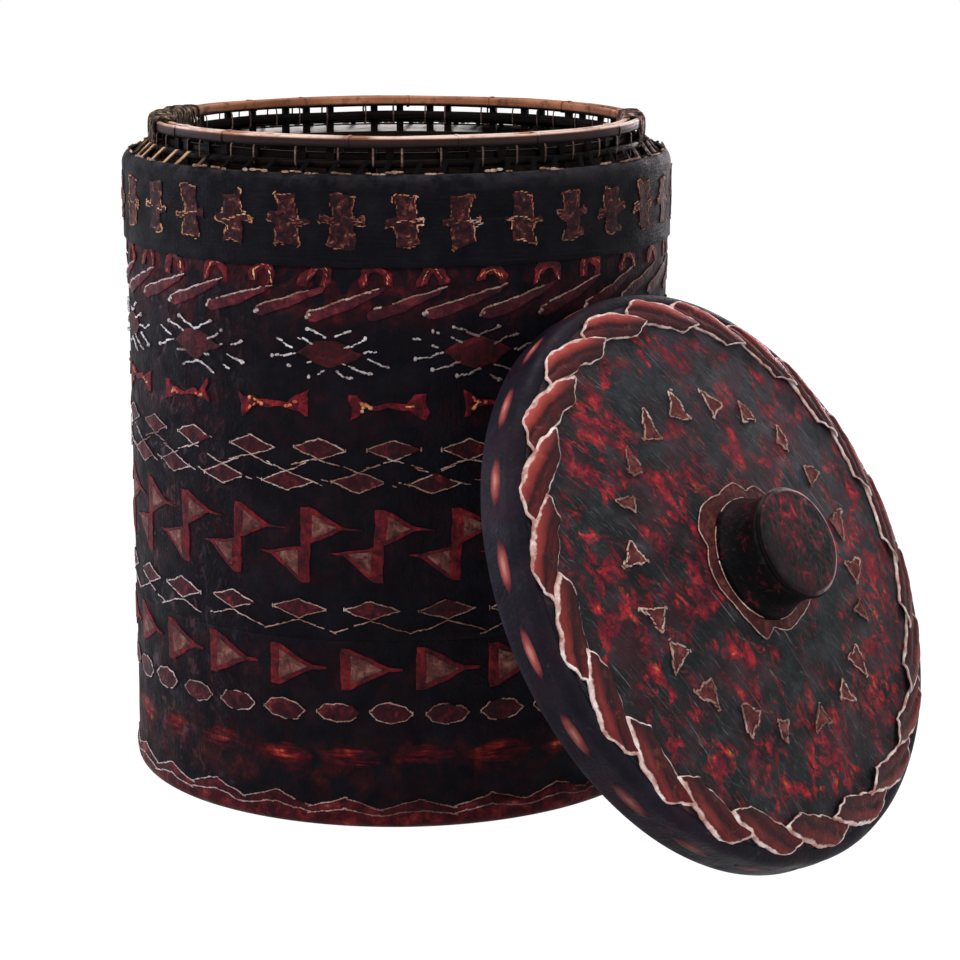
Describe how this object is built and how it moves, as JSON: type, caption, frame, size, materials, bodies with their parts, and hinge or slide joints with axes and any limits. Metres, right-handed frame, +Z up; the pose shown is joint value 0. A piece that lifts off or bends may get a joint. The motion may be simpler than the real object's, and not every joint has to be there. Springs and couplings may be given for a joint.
{
  "type": "lidded basket box",
  "caption": "Upright round basket box covered in dark leather with rows of red patches, an open cane collar and a domed knobbed lid leaning on its wall.",
  "frame": {"origin": "centre of the base board's underside, on the box's own axis", "axes": "+Z up along the box's axis, -Y towards the side that the picture shows, the lid leaning towards +X -Y"},
  "size_m": [0.3869, 0.3995, 0.3244],
  "materials": {
    "black_leather": "dark dyed leather, worn satin",
    "red_leather": "dark red dyed leather with pale cut edges",
    "cane": "aged brown cane",
    "pale_cane": "pale split cane",
    "coiled_straw": "coiled plant fibre",
    "timber": "plain wood"
  },
  "bodies": {
    "box": {"base_board": "timber", "foot_hoop": "cane", "foot_band": "red_leather", "wall_core": "coiled_straw", "wall_frame_hoops": "cane", "frame_stakes": "cane", "liner": "coiled_straw", "lower_cover": "black_leather", "upper_cover": "black_leather", "shoulder_band": "black_leather", "ledge_coil": "coiled_straw", "ledge_lashing": "pale_cane", "collar_low_hoop": "cane", "collar_mid_outer": "cane", "collar_mid_inner": "cane", "collar_rim_outer": "cane", "collar_rim_inner": "cane", "collar_ties": "pale_cane", "cross_patches": "red_leather", "scallop_patches": "red_leather", "slant_patches": "red_leather", "star_patches": "red_leather", "bow_patches": "red_leather", "diamond_patches": "red_leather", "pair_patches": "red_leather", "low_diamond_patches": "red_leather", "triangle_patches": "red_leather", "oval_patches": "red_leather"},
    "lid": {"lid_board": "timber", "lid_lining": "coiled_straw", "lid_rim_core": "coiled_straw", "lid_fit_hoop": "cane", "lid_edge_ties": "pale_cane", "lid_side_cover": "black_leather", "lid_cover": "black_leather", "lid_border": "red_leather", "dome_triangles": "red_leather", "side_spot_patches": "red_leather", "knob_core": "timber", "knob_cover": "black_leather", "knob_rim": "pale_cane", "knob_cap": "red_leather", "knob_frill": "red_leather", "knob_peg": "timber", "knob_washer": "timber", "knob_pin": "timber"}
  },
  "joints": [
    {"name": "lid_lift", "type": "slide", "parent": "box", "child": "lid", "axis": [0.255, -0.228, 0.9397], "range_m": [0, 0.36]}
  ]
}
